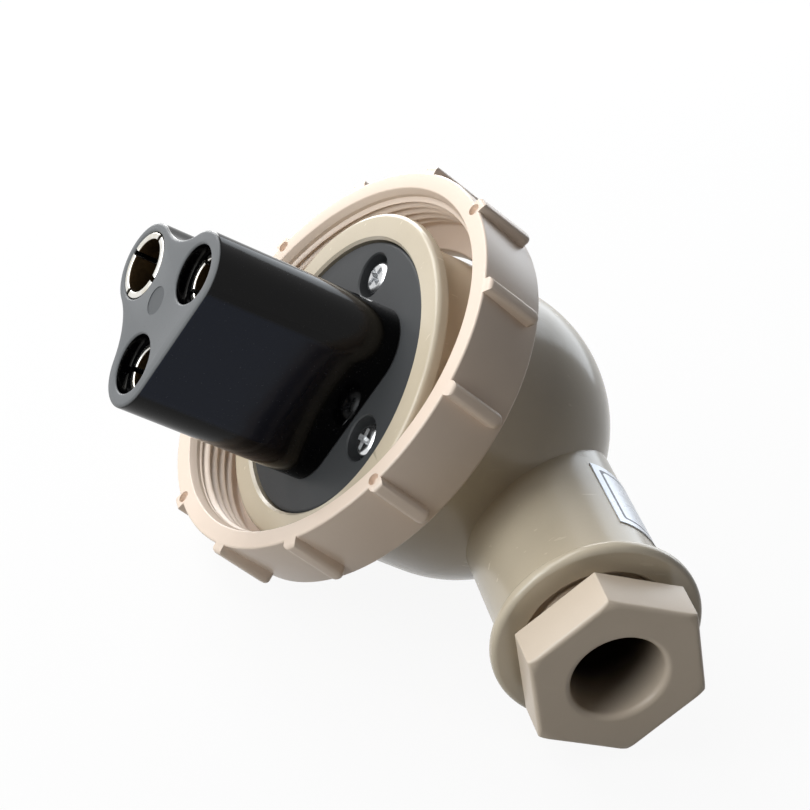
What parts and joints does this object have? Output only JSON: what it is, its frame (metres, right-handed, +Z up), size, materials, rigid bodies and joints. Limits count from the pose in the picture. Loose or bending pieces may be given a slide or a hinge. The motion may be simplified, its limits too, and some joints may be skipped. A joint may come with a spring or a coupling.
{
  "type": "marine elbow power plug with contact sockets",
  "caption": "Elbow power plug for ships: round body with side neck and gland nut, three-lobed insert with contact sockets, loose threaded coupling ring.",
  "frame": {"origin": "middle of the collar's front face, on the axis of the contact insert", "axes": "+Z up as the plug lies on a table, +X towards the insert's tip, which is raised by 19.5 degrees, +Y towards the neck's end, which drops by 5.6 degrees"},
  "size_m": [0.0788, 0.0864, 0.0607],
  "materials": {
    "housing_plastic": "smooth moulded, satin",
    "ring_plastic": "smooth moulded, satin",
    "nut_plastic": "smooth moulded, satin",
    "insulator_plastic": "polished black moulding",
    "contact_metal": "silver-plated, turned",
    "spring_steel": "bright",
    "screw_steel": "bright zinc-plated",
    "bush_brass": "turned",
    "washer_brass": "stamped",
    "seal_rubber": "moulded",
    "label_foil": "bare foil"
  },
  "bodies": {
    "plug_body": {"housing": "housing_plastic", "insulator": "insulator_plastic", "contact_plate": "insulator_plastic", "insert_gasket": "seal_rubber", "earth_contact": "contact_metal", "line_contact": "contact_metal", "neutral_contact": "contact_metal", "earth_spring_ring": "spring_steel", "line_spring_ring": "spring_steel", "neutral_spring_ring": "spring_steel", "earth_terminal_screw": "screw_steel", "line_terminal_screw": "screw_steel", "neutral_terminal_screw": "screw_steel", "insert_screw_1": "screw_steel", "insert_screw_2": "screw_steel", "insert_screw_3": "screw_steel", "threaded_bush_1": "bush_brass", "threaded_bush_2": "bush_brass", "threaded_bush_3": "bush_brass", "cable_packing": "seal_rubber", "packing_seat": "washer_brass", "neck_label": "label_foil"},
    "ring_body": {"coupling_ring": "ring_plastic"},
    "gland_washer_body": {"gland_washer": "washer_brass"},
    "gland_nut_body": {"gland_nut": "nut_plastic"}
  },
  "joints": [
    {"name": "ring_spin", "type": "hinge", "parent": "plug_body", "child": "ring_body", "pos_m": [0.0014, -0.00034, 0.0027], "axis": [0.8614, 0.0256, 0.5074], "continuous": true},
    {"name": "gland_travel", "type": "slide", "parent": "plug_body", "child": "gland_washer_body", "axis": [0, 0.9952, -0.0976], "range_m": [0, 0.0061]},
    {"name": "nut_turn", "type": "hinge", "parent": "gland_washer_body", "child": "gland_nut_body", "pos_m": [-0.03054, 0.04323, -0.01511], "axis": [0, 0.9952, -0.0976], "range_deg": [0, 1440]}
  ],
  "couplings": [
    {"joint": "gland_travel", "follows": "nut_turn", "m_per_rad": 0.00023873}
  ]
}
